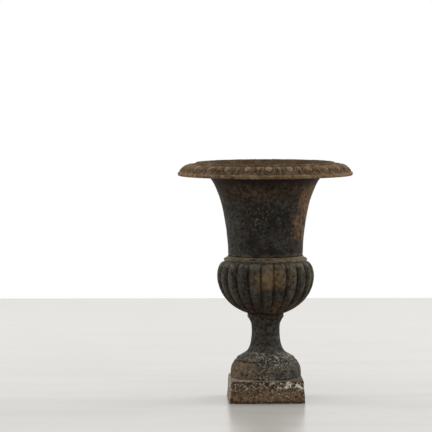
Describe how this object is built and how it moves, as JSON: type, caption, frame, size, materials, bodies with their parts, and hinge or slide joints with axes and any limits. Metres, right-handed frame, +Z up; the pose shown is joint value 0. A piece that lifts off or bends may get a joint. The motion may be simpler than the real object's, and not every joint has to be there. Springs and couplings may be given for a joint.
{
  "type": "garden urn",
  "caption": "Tall cast-iron garden urn: flared bell with an egg-and-dart rim on a lobed bowl, waisted stem, dome and square plinth; holds a planting, drains through its foot.",
  "frame": {"origin": "centre of the plinth's underside, on the floor", "axes": "+Z up along the urn's axis, -Y towards the front face of the plinth, +X to the right seen from the front"},
  "size_m": [0.5136, 0.5136, 0.7],
  "materials": {
    "iron_rim": "weathered brown rust with worn paint",
    "iron_bell": "old black paint with rust streaks",
    "iron_bowl": "old black paint with ochre stains",
    "iron_stem": "old black paint with pale flecks",
    "iron_plinth": "rust brown with flaked pale paint",
    "lime_putty": "matt pale putty",
    "rusted_steel": "rusted"
  },
  "bodies": {
    "root": {"rim": "iron_rim", "bell": "iron_bell", "bowl": "iron_bowl", "stem": "iron_stem", "plinth": "iron_plinth", "plinth_bedding": "lime_putty", "bridge_bar": "rusted_steel", "tie_rod": "rusted_steel", "tie_rod_top_nut": "rusted_steel", "tie_rod_top_washer": "rusted_steel", "tie_rod_bottom_nut": "rusted_steel", "tie_rod_bottom_washer": "rusted_steel", "rim_bolts": "rusted_steel", "rim_washers": "rusted_steel", "waist_bolts": "rusted_steel", "waist_washers": "rusted_steel", "waist_nuts": "rusted_steel"}
  },
  "joints": []
}
